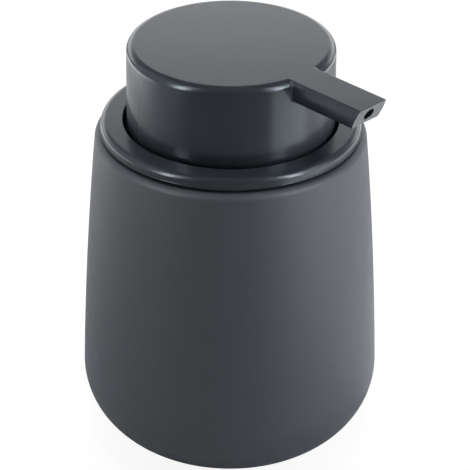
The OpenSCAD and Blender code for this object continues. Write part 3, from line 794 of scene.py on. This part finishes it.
def button_shell():
    """The whole shell except the tip's face, and the loop of vertices round that face."""
    builder = bmesh.new()
    top_ring = round_wall(builder)
    caps, left, right, tips = spout_rows(builder, top_ring)
    builder.faces.new(caps[-1][::-1] + left[-1][1:] + tips[-1][1:-1] + right[-1][:0:-1])
    front_row = [top_ring[0]] + top_ring[:cap_steps:-1] + [top_ring[cap_steps]]
    underside(builder, front_row, left[0], right[0], tips[0])
    return builder, tip_frame(builder, left, right, tips)


button_builder, face_loop = button_shell()
print("the tip's face has", len(face_loop), "corners")

# %% [markdown]
# ## The outlet
# The soap leaves through a small chamfered hole in the slanted tip. Behind it the hole widens to
# take the nozzle tube. A boolean cut would leave long thin faces round the hole, so the face is
# filled with rings instead: each ring has as many corners as the face's own edge, and the last
# ones run back into the channel.

# %% Cut the outlet into the tip
_, nozzle_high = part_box("nozzle_tube")
outlet_z = top_z - spout_h / 2
outlet_r = 1.5 * mm
outlet_chamfer = 0.15 * mm
channel_gap = 0.02 * mm
channel_r = nozzle_high.z - outlet_z + channel_gap


def hole_ring(radius, place):
    """A ring of the hole, with a corner for each corner of the face; place gives x at a height."""
    made = []
    for vertex in face_loop:
        angle = math.atan2(vertex.co.z - outlet_z, vertex.co.y)
        z = outlet_z + radius * math.sin(angle)
        made += ring_of(button_builder, [(place(z), radius * math.cos(angle))], z)
    return made


hole = [
    face_loop,
    hole_ring(outlet_r + outlet_chamfer, face_x),
    hole_ring(outlet_r, lambda z: face_x(z) - outlet_chamfer),
    hole_ring(outlet_r, lambda z: nozzle_high.x),
    hole_ring(channel_r, lambda z: nozzle_high.x),
    hole_ring(channel_r, lambda z: cap_r),
]
for outer, inner in pairwise(hole):
    skin(button_builder, outer + outer[:1], inner + inner[:1])
button_builder.faces.new(hole[-1])
open_edges = [e for e in button_builder.edges if len(e.link_faces) != 2]
print("open edges on the button:", len(open_edges))
make_piece("push_button", button_builder, "satin_plastic", "head", "button")

# %% [markdown]
# ## Painted shade in the outlet
# Hardly any light gets into a real outlet, so it looks dark. The milky nozzle tube behind it
# would scatter a glow back out, so its bore is lined with a thin sleeve of the button's dark
# plastic, which the real pump does not have: the sleeve is painted shade for the dark hole.
# Darkening the tube's finish would be simpler, but then the whole tube would be dark.

# %% Line the outlet with a sleeve of painted shade
# a thin dark sleeve inside the nozzle tube: painted shade that keeps the outlet dark
shade_sleeve_gap = 0.02 * mm
shade_sleeve_t = 0.06 * mm
shade_sleeve_l = 14 * mm
shade_sleeve_steps = 48
shade_sleeve_r = outlet_r - shade_sleeve_gap
shade_sleeve_section = [(shade_sleeve_r - shade_sleeve_t, 0), (shade_sleeve_r, 0), (shade_sleeve_r, -shade_sleeve_l), (shade_sleeve_r - shade_sleeve_t, -shade_sleeve_l)]
shade_sleeve_builder = turned(shade_sleeve_section, shade_sleeve_steps)
along_spout = Matrix.Rotation(math.pi / 2, 4, "Y")
into_spout = Matrix.Translation((nozzle_high.x, 0, outlet_z)) @ along_spout
bmesh.ops.transform(shade_sleeve_builder, matrix=into_spout, verts=shade_sleeve_builder.verts)
make_piece("outlet_shade_sleeve", shade_sleeve_builder, "satin_plastic", "head")

# %% [markdown]
# ## The return spring
# The wire is round, and at each end the last turn closes up until it touches its neighbour, so
# that the spring stands straight. A bevelled curve could draw the same wire. It is a mesh here,
# so that `make_piece` can finish it like the others, with enough sides to look round.

# %% Wind the spring
spring_low, spring_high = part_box("return_spring")
wire_r = 0.45 * mm
wire_sides = 14
coil_turns = 5
turn_steps = 40
coil_r = spring_high.x - wire_r
spring_h = spring_high.z - spring_low.z
# the two closed turns and the wire's own thickness take up three wire diameters
open_h = spring_h - 6 * wire_r


def wire_z(turn):
    """Height of the wire's middle after some turns: a closed turn, the open ones, a closed one."""
    closed_turns = min(turn, 1) + max(turn - 1 - coil_turns, 0)
    open_share = min(max(turn - 1, 0) / coil_turns, 1)
    return spring_low.z + wire_r + 2 * wire_r * closed_turns + open_h * open_share


def spring_mesh():
    """A round wire swept along the coil, with a flat face at each end."""
    builder = bmesh.new()
    rings = []
    for i in range((coil_turns + 2) * turn_steps + 1):
        turn = i / turn_steps
        heading = 2 * math.pi * turn
        ring = []
        for side in range(wire_sides):
            tilt = 2 * math.pi * side / wire_sides
            r = coil_r + wire_r * math.cos(tilt)
            height = wire_z(turn) + wire_r * math.sin(tilt)
            ring += ring_of(builder, [(r * math.cos(heading), r * math.sin(heading))], height)
        rings.append(ring)
    for low, high in pairwise(rings):
        skin(builder, low + low[:1], high + high[:1])
    builder.faces.new(rings[0])
    builder.faces.new(rings[-1])
    return builder


spring = make_piece("coil_spring", spring_mesh(), "spring_steel", "lid", "return_spring")
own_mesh(spring)

# %% [markdown]
# ## The pump inside
# The rest of the pump only shows when the lid is lifted out, so its pieces keep the construction
# model's shapes and get their finishes: pale plastics, steel balls, a foam gasket and a silicone
# wiper.

# %% Dress the pump
slots = {part["node"]: part["material_slot"] for part in frame["record"]["subparts"]}
shown = {name: node for name, node in nodes.items() if not node.hide_render}
for name, node in shown.items():
    node.data.materials.clear()
    node.data.materials.append(bpy.data.materials[slots[name]])
print("dressed as they are:", sorted(shown))

# %% [markdown]
# ## The floor
# The dispenser stands on a white sheet. A sheet that is only lit turns grey towards the
# horizon, so to the camera, directly or through something clear, it is shown almost white by
# its own glow, plus a faint share of its lit surface, which keeps the soft shadow round the
# jar's foot. To every other ray it is an ordinary matte white sheet, so the light that it
# throws back onto the jar stays natural.

# %% Lay the sheet
floor_size = 6.0
floor_builder = bmesh.new()
bmesh.ops.create_grid(floor_builder, x_segments=1, y_segments=1, size=floor_size / 2)
floor_mesh = bpy.data.meshes.new("floor")
floor_builder.to_mesh(floor_mesh)
floor_builder.free()
floor = bpy.data.objects.new("floor", floor_mesh)
bpy.context.scene.collection.objects.link(floor)
print("floor is", floor_size, "m wide")


# %% White paper for the floor
def grey(share):
    """An even grey of this brightness as a colour."""
    return (share, share, share, 1)


paper_white = 0.8
shadow_depth = 0.22
paper_glow = 0.9
paper = bpy.data.materials.new("floor_paper")
paper.use_nodes = True
tree = paper.node_tree
tree.nodes.remove(tree.nodes["Principled BSDF"])
output = tree.nodes["Material Output"]
sheet = add_node(tree, "ShaderNodeBsdfDiffuse", {"Color": grey(paper_white)})
faint_sheet = add_node(tree, "ShaderNodeBsdfDiffuse", {"Color": grey(shadow_depth)})
glow = add_node(tree, "ShaderNodeEmission", {"Strength": paper_glow})
lit_white = add_node(tree, "ShaderNodeAddShader")
seen = add_node(tree, "ShaderNodeMixShader")
path = add_node(tree, "ShaderNodeLightPath")
direct = add_node(tree, "ShaderNodeMath", operation="MAXIMUM")
tree.links.new(path.outputs["Is Camera Ray"], direct.inputs[0])
tree.links.new(path.outputs["Is Transmission Ray"], direct.inputs[1])
tree.links.new(faint_sheet.outputs[0], lit_white.inputs[0])
tree.links.new(glow.outputs[0], lit_white.inputs[1])
tree.links.new(direct.outputs[0], seen.inputs["Fac"])
tree.links.new(sheet.outputs[0], seen.inputs[1])
tree.links.new(lit_white.outputs[0], seen.inputs[2])
tree.links.new(seen.outputs[0], output.inputs["Surface"])
floor_mesh.materials.append(paper)
print("floor_paper has", len(tree.nodes), "nodes")

# %% [markdown]
# ## The lamps
# A coated jar is matte and takes its shape from broad, soft light. A satin button is half a
# mirror and takes its shape from the lamps that it shows. One set of lamps is hard to tune for
# both, so there are two sets. The washes light matte surfaces and stay out of every reflection.
# The cards and strips are there for reflections and leave matte surfaces alone: a band on each
# side brightens the ends of the button's wall, tall strips draw the bright lines along the
# rounded edges, low rims edge the sides of the ring, the back panel lies as a pale sheen on the
# flat top, and a small card near the floor shows in the spout's slanted tip.

# %% Softbox
def softbox(name, place, aim, width, height, radiance, in_mirrors):
    """A rectangular lamp that faces a point. In a perfect mirror, radiance 1 is seen as white."""
    light = bpy.data.lights.new(name, "AREA")
    light.shape = "RECTANGLE"
    light.size = width
    light.size_y = height
    light.energy = radiance * math.pi * width * height
    lamp = bpy.data.objects.new(name, light)
    lamp.location = place
    lamp.rotation_euler = (aim - place).to_track_quat("-Z", "Y").to_euler()
    lamp.visible_camera = False
    lamp.visible_diffuse = not in_mirrors
    lamp.visible_glossy = in_mirrors
    bpy.context.scene.collection.objects.link(lamp)
    print(name, "gives", round(light.energy, 3), "W")


print("lamp sizes and distances are in metres")

# %% Washes for the matte surfaces
panel_h = 0.3
panel_z = panel_h / 2
# each wash: where it stands, its width, its height and its radiance
washes = {
    "front_wash": (around(0, 1.0, 0.1), 0.5, 0.2, 1.8),
    "top_wash": (Vector((0, 0, 1.0)), 0.4, 0.4, 5.2),
    "left_wash": (around(-122, 0.4, panel_z), 0.3, panel_h, 3.1),
    "right_wash": (around(90, 0.4, panel_z), 0.3, panel_h, 4.1),
    "back_wash": (around(180, 1.0, 0.4), 0.6, 0.4, 4.0),
}
for name, (place, width, height, radiance) in washes.items():
    softbox(name, place, Vector((0, 0, panel_z)), width, height, radiance, in_mirrors=False)

# %% Cards and strips for the satin surfaces
band_distance = 0.16
strip_bearing = 53
rim_bearing = 2.2 * strip_bearing
strip_distance = 0.6
# each card: where it stands, its width, its height and its radiance
cards = {
    "left_band": (around(-82, band_distance, 0.18), 0.22, panel_h, 0.62),
    "right_band": (around(63, band_distance, panel_z), 0.12, panel_h, 1.7),
}
for side, sign in (("left", -1), ("right", 1)):
    strip_side = sign * strip_bearing
    cards[f"{side}_rim"] = (around(sign * rim_bearing, 0.25, 0.02), 0.3, 0.035, 3.0)
    cards[f"{side}_strip"] = (around(strip_side, strip_distance, 0.28), 0.12, 0.4, 15.0)
    cards[f"{side}_strip_top"] = (around(strip_side, strip_distance, 0.68), 0.12, 0.4, 6.0)
cards["back_panel"] = (around(180, 2.0, 0.54), 6.0, 1.08, 2.0)
for name, (place, width, height, radiance) in cards.items():
    softbox(name, place, Vector((0, 0, place.z)), width, height, radiance, in_mirrors=True)

# %% Card for the spout's tip
card_size = 0.12
card_lift = 0.004
card_radiance = 0.8
card_place = around(90, 0.105, card_lift) + around(180, 0.025, 0)
overhead = card_place + Vector((0, 0, 1))
softbox("spout_card", card_place, overhead, card_size, card_size, card_radiance, in_mirrors=True)

# %% [markdown]
# ## The room
# Behind the lamps the world is white to the camera, so the background is white. Matte surfaces
# take only a faint fill from it, which softens the darkest shades, and mirrors see a share
# of its white. Lighting everything with a white world would be simpler, but it would wash
# out the dark bands that show how round the button is.

# %% World
fill_strength = 0.055
mirror_share = 0.27
world = bpy.data.worlds.new("studio")
bpy.context.scene.world = world
world.use_nodes = True
tree = world.node_tree
tree.nodes.clear()
world_output = add_node(tree, "ShaderNodeOutputWorld")
faint = {"Color": grey(1), "Strength": fill_strength}
bright = {"Color": grey(1), "Strength": 1.0}
fill = add_node(tree, "ShaderNodeBackground", faint)
white = add_node(tree, "ShaderNodeBackground", bright)
choose = add_node(tree, "ShaderNodeMixShader")
path = add_node(tree, "ShaderNodeLightPath")
direct = add_node(tree, "ShaderNodeMath", operation="MAXIMUM")
any_view = add_node(tree, "ShaderNodeMath", operation="MAXIMUM")
mirrored = add_node(tree, "ShaderNodeMath", {1: mirror_share}, operation="MULTIPLY")
tree.links.new(path.outputs["Is Glossy Ray"], mirrored.inputs[0])
tree.links.new(path.outputs["Is Camera Ray"], direct.inputs[0])
tree.links.new(path.outputs["Is Transmission Ray"], direct.inputs[1])
tree.links.new(direct.outputs[0], any_view.inputs[0])
tree.links.new(mirrored.outputs[0], any_view.inputs[1])
tree.links.new(any_view.outputs[0], choose.inputs["Fac"])
tree.links.new(fill.outputs[0], choose.inputs[1])
tree.links.new(white.outputs[0], choose.inputs[2])
tree.links.new(choose.outputs[0], world_output.inputs["Surface"])
bpy.context.scene.view_settings.view_transform = "Standard"
print("world fill", fill_strength)
